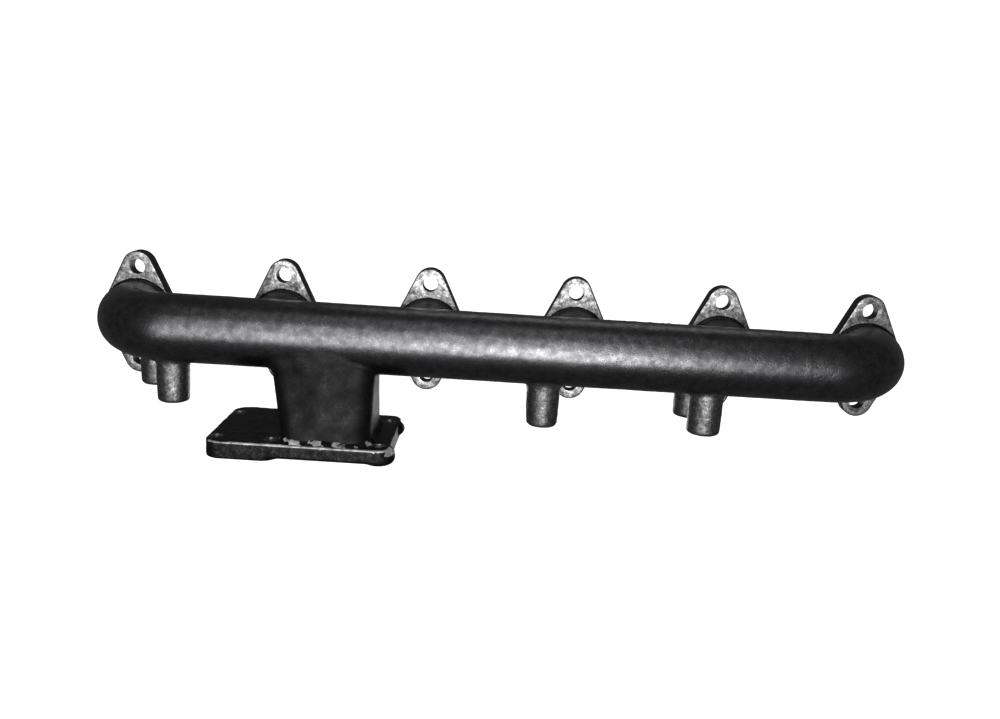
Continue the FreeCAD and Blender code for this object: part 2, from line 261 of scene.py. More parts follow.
@dataclass(frozen=True)
class Iron:
    """Dark iron skin with mottled tone, wear that shows bright metal, grain and pits.

    Burnt-on oxide over cast or rolled iron is a dark metal with a soft gloss: it goes near black where it
    mirrors the dark, and a lamp draws a long bright band along it that breaks up over grit and pits.
    """
    name: str
    dark: str
    light: str
    worn: str
    wear: float = 0.2
    roughness_low: float = 0.25
    roughness_high: float = 0.36
    metallic: float = 1.0
    mottle_mm: float = 7.0
    grain_mm: float = 0.8          # real grit is about half this; coarser so that it shows
    grain_depth: float = 0.035 * MM
    pit_mm: float = 3.2
    pit_depth: float = 0.09 * MM
    pitted_from: float | None = None

    def build(self) -> bpy.types.Material:
        """Makes the node material."""
        material, tree = new_material(self.name)
        place = add(tree, "TexCoord").outputs["Object"]
        mottle = grain(tree, place, self.mottle_mm, 4.0, 0.32, 0.68)
        fine = grain(tree, place, self.grain_mm, 3.0, 0.30, 0.70)
        specks = grain(tree, place, self.grain_mm * 1.6, 2.0, 0.50, 0.66)
        amount = grain(tree, place, self.mottle_mm * 2.2, 2.0, 0.425, 0.575)
        if self.pitted_from is not None:
            x = add(tree, "SeparateXYZ", inputs=(place,)).outputs["X"]
            spread = add(tree, "MapRange", inputs=(x, self.pitted_from, self.pitted_from + 0.08, 0.15, 1.0))
            amount = add(tree, "Math", MULTIPLY, (amount, spread.outputs[0])).outputs[0]
        pits = add(tree, "TexVoronoi", {"feature": "F1"},
                   {"Vector": place, "Scale": per_metre(self.pit_mm), "Randomness": 1.0})
        pit = add(tree, "MapRange", inputs=(pits.outputs["Distance"], 0.10, 0.34, 1.0, 0.0)).outputs[0]
        pit_loss = add(tree, "Math", MULTIPLY, (pit, amount)).outputs[0]

        base = add(tree, "Mix", MIX_COLOURS, {0: mottle, 6: linear(self.dark), 7: linear(self.light)})
        spots = add(tree, "Math", MULTIPLY, (specks, mottle)).outputs[0]
        wear = add(tree, "Math", MULTIPLY, (spots, self.wear)).outputs[0]
        worn = add(tree, "Mix", MIX_COLOURS, {0: wear, 6: base.outputs[2], 7: linear(self.worn)})
        dirt = add(tree, "Math", MULTIPLY, (pit_loss, 0.45)).outputs[0]
        shade = add(tree, "Mix", MIX_COLOURS, {0: dirt, 6: worn.outputs[2], 7: linear("#101010")})
        both = add(tree, "Math", ADD, (fine, mottle)).outputs[0]
        rough = add(tree, "MapRange", inputs=(both, 0.0, 2.0, self.roughness_high, self.roughness_low))
        grain_bump = add(tree, "Bump", inputs={
            "Strength": 1.0, "Distance": self.grain_depth, "Height": fine})
        pit_bump = add(tree, "Bump", {"invert": True}, {
            "Strength": 1.0, "Distance": self.pit_depth, "Height": pit_loss,
            "Normal": grain_bump.outputs["Normal"]})
        shader = add(tree, "BsdfPrincipled", inputs={
            "Base Color": shade.outputs[2], "Roughness": rough.outputs[0], "Metallic": self.metallic,
            "Normal": pit_bump.outputs["Normal"]})
        add(tree, "OutputMaterial", inputs={"Surface": shader.outputs["BSDF"]})
        return material


@dataclass(frozen=True)
class MachinedIron:
    """Bare iron turned round a hole: fine concentric tool marks and a thin grey film."""
    name: str
    dark: str
    light: str
    roughness: float = 0.34
    mark_mm: float = 0.9           # a real feed is 0.2 mm; coarser so that it shows
    mark_depth: float = 0.03 * MM
    rise: float = 42.9 * MM
    pitch: float = 135.0 * MM

    def build(self) -> bpy.types.Material:
        """Makes the node material."""
        material, tree = new_material(self.name)
        place = add(tree, "TexCoord").outputs["Object"]
        split = add(tree, "SeparateXYZ", inputs=(place,))
        shifted = add(tree, "Math", ADD, (split.outputs["X"], 20 * self.pitch)).outputs[0]
        wrapped = add(tree, "Math", {"operation": "MODULO"}, (shifted, self.pitch)).outputs[0]
        across = add(tree, "Math", SUBTRACT, (wrapped, self.pitch / 2)).outputs[0]
        height = add(tree, "Math", {"operation": "ABSOLUTE"}, (split.outputs["Z"],)).outputs[0]
        up = add(tree, "Math", SUBTRACT, (height, self.rise)).outputs[0]
        squares = [add(tree, "Math", MULTIPLY, (side, side)).outputs[0] for side in (across, up)]
        total = add(tree, "Math", ADD, tuple(squares)).outputs[0]
        reach = add(tree, "Math", {"operation": "SQRT"}, (total,)).outputs[0]
        turns = add(tree, "Math", MULTIPLY, (reach, 2 * math.pi * per_metre(self.mark_mm))).outputs[0]
        marks = add(tree, "Math", {"operation": "SINE"}, (turns,)).outputs[0]
        parts = [add(tree, "Math", MULTIPLY, pair).outputs[0]
                 for pair in ((grain(tree, place, 3.5, 3.0), 0.7), (marks, 0.15))]
        tone = add(tree, "Math", ADD, tuple(parts)).outputs[0]
        share = add(tree, "MapRange", inputs=(tone, 0.1, 0.8, 0.0, 1.0)).outputs[0]
        colour = add(tree, "Mix", MIX_COLOURS, {0: share, 6: linear(self.dark), 7: linear(self.light)})
        bump = add(tree, "Bump", inputs={"Strength": 1.0, "Distance": self.mark_depth, "Height": marks})
        shader = add(tree, "BsdfPrincipled", inputs={
            "Base Color": colour.outputs[2], "Roughness": self.roughness, "Metallic": 1.0,
            "Normal": bump.outputs["Normal"]})
        add(tree, "OutputMaterial", inputs={"Surface": shader.outputs["BSDF"]})
        return material


class Finish(Enum):
    """The finishes of the manifold's pieces."""
    # hot rolled tube under burnt-on oxide: dark, with a long soft band of light
    LOG_SKIN = Iron("log_oxide_skin", "#48484a", "#5e5e60", "#b8b8b8", wear=0.2, pitted_from=0.03)
    # oxide left as it formed: near black and matt; on the runners it is painted shade under the ears
    RISER_SKIN = Iron("matt_oxide_and_painted_shade", "#19191a", "#222223", "#5a5a5a", wear=0.16,
                      roughness_low=0.50, roughness_high=0.62, metallic=0.95, mottle_mm=11.0)
    # sooted plate: the blackest face
    PLATE_SKIN = Iron("plate_black_oxide", "#101011", "#181819", "#3a3a3a", wear=0.08,
                      roughness_low=0.44, roughness_high=0.58, metallic=0.6)
    # sawn and oxidised: dark with a few bright scuffs
    PLATE_SIDE = Iron("plate_sawn_side", "#1a1a1b", "#29292a", "#7a7a7a", wear=0.25,
                      roughness_low=0.44, roughness_high=0.58, mottle_mm=5.0)
    # painted highlight: a bright broken line along the plate's front top edge and a glint patch on the front
    # right knob
    PLATE_EDGE = Iron("plate_painted_highlight", "#5a5a5b", "#c0c0c0", "#f4f4f2", wear=0.5,
                      roughness_low=0.30, roughness_high=0.44, metallic=0.4, mottle_mm=6.0)
    # ground by hand: grey, finely mottled
    BOSS_SKIN = Iron("boss_ground_skin", "#505051", "#747475", "#d8d8d6", wear=0.4,
                     roughness_low=0.36, roughness_high=0.48, mottle_mm=4.0, grain_depth=0.05 * MM)
    # ground flat: silvery with dark patches
    EAR_FACE = Iron("ear_ground_face", "#4c4c4d", "#989899", "#f8f8f6", wear=0.7,
                    roughness_low=0.38, roughness_high=0.54, mottle_mm=5.0, pit_depth=0.06 * MM)
    # unground plate edge: a black outline
    EAR_RIM = Iron("ear_black_rim", "#161617", "#202021", "#4a4a4a", wear=0.05,
                   roughness_low=0.48, roughness_high=0.62, metallic=0.6)
    # turned round the bolt hole: fine rings
    SPOT_FACE = MachinedIron("spot_face_turned", "#606060", "#b4b4b4")
    # milled face: even grey
    HEAD_FACE = MachinedIron("head_face_milled", "#808081", "#c0c0c0")
    # oxidised weld, black and rippled; its black is also painted shade under the ears
    COLLAR_WELD = Iron("collar_weld_oxide_and_shade", "#171718", "#242425", "#5c5c5c", wear=0.12,
                       roughness_low=0.40, roughness_high=0.54, metallic=0.9)
    # dressed weld with painted glints: bright patches on black where the front of the bead catches the lamps
    FOOT_WELD = Iron("foot_weld_painted_glints", "#141414", "#c8c8c7", "#f8f8f6", wear=0.6,
                     roughness_low=0.26, roughness_high=0.40, metallic=0.4, mottle_mm=6.0)

    @property
    def material(self) -> bpy.types.Material:
        """The finish's material, made when first asked for."""
        return bpy.data.materials.get(self.value.name) or self.value.build()


def dress(piece: bpy.types.Object, *finishes: Finish) -> None:
    """Gives a piece its finishes, the first one all over."""
    piece.data.materials.clear()
    for finish in finishes:
        piece.data.materials.append(finish.material)


def complete(piece: bpy.types.Object, finish: Finish, angle: float, name: str, node: str) -> None:
    """Dresses a piece in one finish, smooths it and hands it over for one CAD node."""
    dress(piece, finish)
    smooth(piece, angle)
    hand_over(piece, name, [node])


def dress_faces(piece: bpy.types.Object, slot: int, wanted: Callable[[bpy.types.MeshPolygon], bool]) -> None:
    """Puts the finish in a slot on the wanted faces."""
    edit_where(piece, "FACE", wanted)
    piece.active_material_index = slot
    bpy.ops.object.material_slot_assign()
    done_editing()


# Places read from the frame

@dataclass(frozen=True)
class Layout:
    """Places and sizes that several sub-assemblies share, read from the CAD boxes."""
    port_x: tuple[float, ...]
    flange_thickness: float
    flange_radius: float
    ear_top: float
    tube_radius: float
    runner_radius: float
    weld_leg: float
    log_y: float
    butt_x: float

    @classmethod
    def read(cls) -> "Layout":
        """Measures the frame."""
        count = sum(name.startswith("port_flange_") for name in frame["nodes"])
        boxes = [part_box(f"port_flange_{number}") for number in range(1, count + 1)]
        low, high = boxes[0]
        weld_low, weld_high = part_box("flange_weld_1")
        inner_low, inner_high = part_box("flange_weld_2")
        butt_low, butt_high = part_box("elbow_butt_weld_right")
        leg = weld_high.y - weld_low.y
        return cls(
            port_x=tuple((a.x + b.x) / 2 for a, b in boxes),
            flange_thickness=high.y - low.y,
            flange_radius=(high.x - low.x) / 2,
            ear_top=high.z,
            tube_radius=(weld_high.x - weld_low.x) / 2 - leg,
            runner_radius=(inner_high.x - inner_low.x) / 2 - leg,
            weld_leg=leg,
            log_y=(butt_low.y + butt_high.y) / 2,
            butt_x=(butt_low.x + butt_high.x) / 2,
        )

    def under_log(self, x: float, across: float, along_skin: float = 0.0, lift: float = 0.0) -> Vector:
        """A point on the log's skin.

        Args:
            x: Place along the log.
            across: Depth behind the log's axis where the point starts, on the underside.
            along_skin: How far it then moves round the skin towards the head.
            lift: How far it stands off the skin.

        Returns:
            The point.
        """
        angle = math.asin(max(-1.0, min(1.0, across / self.tube_radius))) + along_skin / self.tube_radius
        reach = self.tube_radius + lift
        return Vector((x, self.log_y + reach * math.sin(angle), -reach * math.cos(angle)))


# Shapes that several pieces start from

class Along(Enum):
    """The axis that a round bar lies along."""
    X = (0.0, math.pi / 2, 0.0)
    Y = (math.pi / 2, 0.0, 0.0)
    Z = (0.0, 0.0, 0.0)


def bar(radius: float, middle: Vector, length: float, along: Along, sides: int = 96,
        ends: str = "NGON") -> bpy.types.Object:
    """Adds a round bar with its middle at a point."""
    deselect()
    bpy.ops.mesh.primitive_cylinder_add(
        vertices=sides, radius=radius, depth=length, location=middle, rotation=along.value,
        end_fill_type=ends)
    piece = bpy.context.object
    settle(piece)
    return piece


def cast_surface(piece: bpy.types.Object, lump_mm: float, height: float, seed: int = 0,
                 held: Callable[[Vector], float] = lambda place: 1.0) -> None:
    """Raises and sinks a skin by a soft random height, as a sand mould leaves it.

    Args:
        piece: The object, with a fine enough mesh.
        lump_mm: Spacing of the lumps in millimetres.
        height: Height from lowest to highest.
        seed: Shifts the pattern.
        held: Share of the height at a place, 0 where the skin must stay true.
    """
    mesh = piece.data
    shift = Vector((seed * 3.7, seed * 1.3, seed * 2.1))
    normals = [Vector(vertex.normal) for vertex in mesh.vertices]
    for vertex, normal in zip(mesh.vertices, normals):
        share = held(vertex.co)
        if share > 0:
            wave = noise.fractal(vertex.co * per_metre(lump_mm) + shift, 0.8, 2.0, 3)
            vertex.co += normal * (0.5 * height * share * wave)
    mesh.update()


@dataclass(frozen=True)
class Roughness:
    """Soft lumps and finer grit, by their spacing and height."""
    lump_mm: float
    lump_height: float
    grit_mm: float
    grit_height: float

    def raise_skin(self, piece: bpy.types.Object, seed: int,
                   held: Callable[[Vector], float] = lambda place: 1.0, grit_seed: int = 1) -> None:
        """Raises the lumps and then the grit on a piece, whose seed lies grit_seed further on."""
        cast_surface(piece, self.lump_mm, self.lump_height, seed, held)
        cast_surface(piece, self.grit_mm, self.grit_height, seed + grit_seed, held)


def ring(name: str, around: int, section: Callable[[float], list[Vector]]) -> bpy.types.Object:
    """Shapes a torus into a bead: each of its cross sections takes the points that a formula gives.

    Args:
        name: The new object's name.
        around: Number of sections round the ring.
        section: Gives a closed section's points at an angle round the ring.

    Returns:
        A closed bead with its normals outwards.
    """
    points = len(section(0.0))
    deselect()
    bpy.ops.mesh.primitive_torus_add(
        major_segments=around, minor_segments=points, major_radius=30 * MM, minor_radius=3 * MM)
    piece = bpy.context.object
    piece.name = name
    for step in range(around):
        places = section(2 * math.pi * step / around)
        for number, place in enumerate(places):
            piece.data.vertices[step * points + number].co = place
    mend_normals(piece)
    return piece


def fillet_section(wall: Vector, corner: Vector, floor: Vector, inside: Vector, crown: float = 0.0,
                   steps: int = 7) -> list[Vector]:
    """A fillet's section from a wall, past the corner, to a floor, closed through a point inside.

    Args:
        wall: Where the fillet leaves the wall.
        corner: Where wall and floor meet.
        floor: Where the fillet leaves the floor.
        inside: A point just inside the joint, which closes the section.
        crown: -1 draws it hollow, 0 flat and 1 full.
        steps: Number of points on the visible face.

    Returns:
        The section's points in order.
    """
    straight = (wall + floor) / 2
    pull = straight + (straight - corner) * crown
    points = []
    for step in range(steps):
        t = step / (steps - 1)
        points.append(wall * (1 - t) ** 2 + pull * (2 * t * (1 - t)) + floor * t ** 2)
    points.append(inside)
    return points


# Head flanges

@dataclass
class HeadFlanges:
    """Six lozenge flanges that bolt to the cylinder head, and the welds behind them."""
    layout: Layout
    ear_radius: float = 14.4 * MM
    bolt_hole: float = 14.0 * MM
    spot_face: float = 20.0 * MM
    spot_depth: float = 0.6 * MM
    socket_depth: float = 8.0 * MM
    tube_wall: float = 5.5 * MM
    runner_wall: float = 5.0 * MM
    rim_round: float = 1.6 * MM
    back_chamfer: float = 0.5 * MM

    @property
    def bolt_rise(self) -> float:
        """Height of the bolt holes above the port's centre."""
        return self.layout.ear_top - self.ear_radius

    def blank(self) -> bpy.types.Object:
        """The plate's outline: a round middle drawn out to an ear above and below."""
        thickness = self.layout.flange_thickness
        middle = Vector((0, -thickness / 2, 0))
        plate = bar(self.layout.flange_radius, middle, thickness, Along.Y, 128)
        ears = [bar(self.ear_radius, middle + Vector((0, 0, up * self.bolt_rise)), thickness, Along.Y, 64)
                for up in (1, -1)]
        pick(plate)
        for ear in ears:
            ear.select_set(True)
        bpy.ops.object.join()
        bpy.ops.object.mode_set(mode="EDIT")
        bpy.ops.mesh.select_all(action="SELECT")
        bpy.ops.mesh.convex_hull()
        bpy.ops.mesh.dissolve_limited(angle_limit=math.radians(0.5))
        done_editing()
        return plate

    def round_rim(self, plate: bpy.types.Object) -> None:
        """Rounds the rim at the outer face and breaks it at the head face."""
        mesh = plate.data
        front = -self.layout.flange_thickness

        def on_plane(edge: bpy.types.MeshEdge, y: float) -> bool:
            return all(abs(mesh.vertices[i].co.y - y) < 0.01 * MM for i in edge.vertices)

        edit_where(plate, "EDGE", lambda edge: on_plane(edge, front))
        bpy.ops.mesh.bevel(offset=self.rim_round, segments=4, profile=0.5)
        done_editing()
        edit_where(plate, "EDGE", lambda edge: on_plane(edge, 0.0))
        bpy.ops.mesh.bevel(offset=self.back_chamfer, segments=1)
        done_editing()

    def plate(self, tube_radius: float, wall: float) -> bpy.types.Object:
        """One flange at the origin, drilled for its tube and its two bolts."""
        thickness = self.layout.flange_thickness
        plate = self.blank()
        self.round_rim(plate)
        seat = Vector((0, -thickness + self.socket_depth / 2, 0))
        cutters = [bar(tube_radius - wall, Vector((0, -thickness / 2, 0)), 2 * thickness, Along.Y),
                   bar(tube_radius, seat - Vector((0, self.socket_depth, 0)) / 2,
                       2 * self.socket_depth, Along.Y)]
        for up in (1, -1):
            hole = Vector((0, -thickness, up * self.bolt_rise))
            cutters.append(bar(self.bolt_hole / 2, hole + Vector((0, thickness / 2, 0)),
                               2 * thickness, Along.Y, 64))
            cutters.append(bar(self.spot_face / 2, hole, 2 * self.spot_depth, Along.Y, 64))
        for cutter in cutters:
            cut(plate, cutter)
        return plate

    def finish(self, plate: bpy.types.Object) -> None:
        """Ground outer face, turned spot faces, milled head face and a black rim."""
        thickness = self.layout.flange_thickness
        dress(plate, Finish.EAR_RIM, Finish.EAR_FACE, Finish.SPOT_FACE, Finish.HEAD_FACE)
        front, floor = -thickness, -thickness + self.spot_depth
        dress_faces(plate, 1, lambda face: face.normal.y < -0.6 and face.center.y < front + 0.6 * MM)
        dress_faces(plate, 2, lambda face: face.normal.y < -0.9 and abs(face.center.y - floor) < 0.1 * MM)
        dress_faces(plate, 3, lambda face: face.normal.y > 0.9 and face.center.y > -0.1 * MM)

    def collar(self, number: int, x: float, tube_radius: float) -> bpy.types.Object:
        """The rippled weld round a tube at a flange."""
        front = -self.layout.flange_thickness
        leg = self.layout.weld_leg
        chance = random.Random(SEED + number)
        phase = chance.uniform(0, 6)
        ripple_count = round(2 * math.pi * tube_radius / (3.2 * MM))

        def section(angle: float) -> list[Vector]:
            direction = Vector((math.cos(angle), 0, math.sin(angle)))
            ripple = 0.5 + 0.5 * math.cos(ripple_count * angle + phase + 0.8 * math.sin(3 * angle))
            lump = noise.noise(direction * 4.0 + Vector((number, 0, 0)))
            size = leg * (0.90 + 0.07 * ripple + 0.10 * lump)
            along = Vector((0, -1, 0))
            corner = direction * tube_radius + Vector((x, front, 0))
            wall = corner + along * size
            floor = corner + direction * size
            inside = corner - direction * 0.4 * MM - along * 0.4 * MM
            return fillet_section(wall, corner, floor, inside, crown=0.55 + 0.35 * ripple)

        return ring(f"collar_weld_{number}", 4 * ripple_count, section)

    def build(self) -> None:
        """Makes, dresses and hands over the six flanges and their welds."""
        count = len(self.layout.port_x)
        patterns = {
            True: self.plate(self.layout.tube_radius, self.tube_wall),
            False: self.plate(self.layout.runner_radius, self.runner_wall),
        }
        for number, x in enumerate(self.layout.port_x, start=1):
            at_end = number in (1, count)
            flange = duplicate(patterns[at_end], f"head_flange_{number}")
            flange.location = (x, 0, 0)
            settle(flange)
            self.finish(flange)
            smooth(flange, 35)
            hand_over(flange, f"head_flange_{number}", [f"port_flange_{number}"])
            radius = self.layout.tube_radius if at_end else self.layout.runner_radius
            collar = self.collar(number, x, radius)
            # painted shade: the weld's near-black skin also stands for the shade under the ear
            complete(collar, Finish.COLLAR_WELD, 60,
                     f"collar_weld_{number}", f"flange_weld_{number}")
        for pattern in patterns.values():
            discard(pattern)


# Tubes

def sleeve(radius: float, start: Vector, end: Vector, along: Along, sides: int,
           spacing: float) -> bpy.types.Object:
    """An open round skin with rows of faces about as long as they are wide."""
    length = (end - start).length
    piece = bar(radius, (start + end) / 2, length, along, sides, ends="NOTHING")
    refine(piece, spacing)
    return piece


def refine(piece: bpy.types.Object, spacing: float) -> None:
    """Cuts a piece's long edges into steps of about the spacing."""
    mesh = piece.data
    limit = 1.6 * spacing
    for share in (12, 1):
        target = spacing * share

        def is_long(edge: bpy.types.MeshEdge) -> bool:
            a, b = (mesh.vertices[i].co for i in edge.vertices)
            return (a - b).length > max(limit, 1.5 * target)

        longest = max(((mesh.vertices[e.vertices[0]].co - mesh.vertices[e.vertices[1]].co).length
                       for e in mesh.edges), default=0.0)
        cuts = min(100, round(longest / target) - 1)
        if cuts > 0:
            edit_where(piece, "EDGE", is_long)
            bpy.ops.mesh.subdivide(number_cuts=cuts)
            done_editing()


@dataclass
class Tubes:
    """The log, its two end elbows, four runners and the welds between them."""
    layout: Layout
    log_wall: float = 5.5 * MM
    runner_wall: float = 5.0 * MM
    bend_radius: float = 50.8 * MM
    socket_floor: float = 5.5 * MM       # from the head face to a tube's end
    root_gap: float = 0.8 * MM           # from a butt joint's middle to each tube
    cap_width: float = 8.0 * MM
    cap_height: float = 0.12 * MM
    runner_weld_leg: float = 3.0 * MM
    sides: int = 126
    spacing: float = 1.5 * MM
    skin: Roughness = Roughness(26.0, 0.32 * MM, 5.0, 0.13 * MM)
    scar_from: float = 92 * MM           # a rough scar along the crown of the log
    scar_to: float = 152 * MM
    scar_height: float = 0.8 * MM

    def near_end(self, place: Vector) -> float:
        """Share of unevenness near the butt joints, which meet flush."""
        return min(1.0, abs(abs(place.x) - self.layout.butt_x) / (12 * MM))

    def scar(self, tube: bpy.types.Object) -> None:
        """The row of rough blisters on the log's crown."""
        chance = random.Random(SEED)
        blisters = [(chance.uniform(self.scar_from, self.scar_to), chance.uniform(-9, 9) * MM,
                     chance.uniform(1.4, 2.8) * MM, chance.uniform(0.2, 0.55) * MM) for _ in range(40)]
        for vertex in tube.data.vertices:
            place = vertex.co
            if place.z < 0.8 * self.layout.tube_radius:
                continue
            across = place.y - self.layout.log_y
            rise = 0.0
            for x, y, reach, height in blisters:
                off = math.hypot(place.x - x, across - y) / reach
                if off < 1:
                    rise += height * (1 - off * off) ** 2
            vertex.co += Vector((0, across, place.z)).normalized() * min(rise, self.scar_height)

    def log_tube(self, riser_space: bpy.types.Object) -> None:
        """The long straight tube, open to the runners and the riser."""
        layout = self.layout
        reach = layout.butt_x - self.root_gap
        tube = sleeve(layout.tube_radius, Vector((-reach, layout.log_y, 0)), Vector((reach, layout.log_y, 0)),
                      Along.X, self.sides, self.spacing)
        mend_normals(tube)
        self.skin.raise_skin(tube, 1, self.near_end, 5)
        self.scar(tube)
        modify(tube, "SOLIDIFY", thickness=self.log_wall, offset=-1.0)
        for x in layout.port_x[1:-1]:
            middle = Vector((x, layout.log_y + layout.tube_radius / 2, 0))
            bore = bar(layout.runner_radius - self.runner_wall, middle, layout.tube_radius, Along.Y)
            cut(tube, bore)
        cut(tube, riser_space)
        complete(tube, Finish.LOG_SKIN, 50, "log_tube", "log_pipe")

    def elbow(self, side: int, name: str) -> None:
        """One end elbow with its straight ends: side is 1 for port 6 and -1 for port 1."""
        layout = self.layout
        start_x = layout.butt_x + self.root_gap
        bend_x = abs(layout.port_x[0]) - self.bend_radius
        stub = -layout.log_y - self.bend_radius - self.socket_floor
        deselect()
        bpy.ops.mesh.primitive_circle_add(
            vertices=self.sides, radius=layout.tube_radius, rotation=Along.X.value,
            location=(side * start_x, layout.log_y, 0))
        elbow = bpy.context.object
        settle(elbow)
        pick(elbow)
        bpy.ops.object.mode_set(mode="EDIT")
        bpy.ops.mesh.select_all(action="SELECT")
        bpy.ops.mesh.extrude_region_move(
            TRANSFORM_OT_translate={"value": (side * (bend_x - start_x), 0, 0)})
        bpy.ops.mesh.spin(
            steps=round(self.bend_radius * math.pi / 2 / self.spacing), angle=math.pi / 2,
            center=(side * bend_x, layout.log_y + self.bend_radius, 0), axis=(0, 0, -side))
        bpy.ops.mesh.extrude_region_move(TRANSFORM_OT_translate={"value": (0, stub, 0)})
        done_editing()
        refine(elbow, self.spacing)
        mend_normals(elbow)

        def held(place: Vector) -> float:
            return min(self.near_end(place), max(0.0, -(place.y + 20 * MM) / (12 * MM)))

        self.skin.raise_skin(elbow, 20 + side, held, 5)
        modify(elbow, "SOLIDIFY", thickness=self.log_wall, offset=-1.0)
        complete(elbow, Finish.LOG_SKIN, 50, f"elbow_{name}", f"end_elbow_{name}")

    def butt_cap(self, side: int, name: str) -> None:
        """The low dressed cap over a butt joint."""
        layout = self.layout
        middle = Vector((side * layout.butt_x, layout.log_y, 0))

        def section(angle: float) -> list[Vector]:
            out = Vector((0, math.cos(angle), math.sin(angle)))
            wave = noise.noise(out * 5.0 + Vector((side * 3.0, 0, 0)))
            half = self.cap_width / 2 * (1 + 0.12 * wave)
            points = []
            for step in range(7):
                across = -1 + step / 3
                lift = self.cap_height * (1 - across ** 2) * (1 + 0.3 * wave) - 0.05 * MM
                points.append(middle + Vector((across * half, 0, 0)) + out * (layout.tube_radius + lift))
            points.append(middle + out * (layout.tube_radius - 1.2 * MM))
            return points

        cap = ring(f"butt_cap_{name}", 180, section)
        complete(cap, Finish.LOG_SKIN, 60, f"butt_cap_{name}", f"elbow_butt_weld_{name}")

    def runner(self, number: int, x: float) -> None:
        """One short runner, coped onto the log."""
        layout = self.layout
        tube = sleeve(layout.runner_radius, Vector((x, layout.log_y, 0)), Vector((x, -self.socket_floor, 0)),
                      Along.Y, 120, self.spacing)
        mend_normals(tube)

        def held(place: Vector) -> float:
            return min(1.0, max(0.0, -(place.y + 17 * MM) / (10 * MM)))

        self.skin.raise_skin(tube, 30 + number, held, 5)
        modify(tube, "SOLIDIFY", thickness=self.runner_wall, offset=-1.0)
        cut(tube, bar(layout.tube_radius, Vector((x, layout.log_y, 0)), 80 * MM, Along.X, 180))
        # painted shade: the runner takes the near-black matt skin for the shade under its flange
        complete(tube, Finish.RISER_SKIN, 50, f"runner_tube_{number}", f"runner_{number}")

    def runner_weld(self, number: int, x: float) -> None:
        """The weld where a runner meets the log."""
        layout = self.layout
        chance = random.Random(SEED + 40 + number)
        phase = chance.uniform(0, 6)
        ripples = 50

        def on_log(along: float, height: float, lift: float = 0.0) -> Vector:
            reach = layout.tube_radius + lift
            return Vector((along, layout.log_y + reach * math.cos(height), reach * math.sin(height)))

        def section(angle: float) -> list[Vector]:
            side, up = math.cos(angle), math.sin(angle)
            ripple = 0.5 + 0.5 * math.cos(ripples * angle + phase + 0.7 * math.sin(2 * angle))
            wave = noise.noise(Vector((side, up, number)) * 3.0)
            leg = self.runner_weld_leg * (0.95 + 0.08 * ripple + 0.15 * wave)
            height = math.asin(layout.runner_radius * up / layout.tube_radius)
            corner = on_log(x + layout.runner_radius * side, height)
            wall = corner + Vector((0, leg, 0))
            floor = on_log(x + (layout.runner_radius + leg) * side, height + leg / layout.tube_radius * up)
            inside = on_log(x + (layout.runner_radius - 0.6 * MM) * side, height, -0.8 * MM)
            return fillet_section(wall, corner, floor, inside, crown=0.1 + 0.3 * ripple)

        weld = ring(f"runner_bead_{number}", 4 * ripples, section)
        complete(weld, Finish.COLLAR_WELD, 60,
                 f"runner_bead_{number}", f"runner_weld_{number}")

    def build(self, riser_space: bpy.types.Object) -> None:
        """Makes the tubes and their welds."""
        self.log_tube(riser_space)
        for side, name in ((-1, "left"), (1, "right")):
            self.elbow(side, name)
            self.butt_cap(side, name)
        for number, x in list(enumerate(self.layout.port_x, start=1))[1:-1]:
            self.runner(number, x)
            self.runner_weld(number, x)


# Riser

def mount(name: str) -> dict:
    """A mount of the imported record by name."""
    return next(entry for entry in frame["record"]["mounts"] if entry["name"] == name)


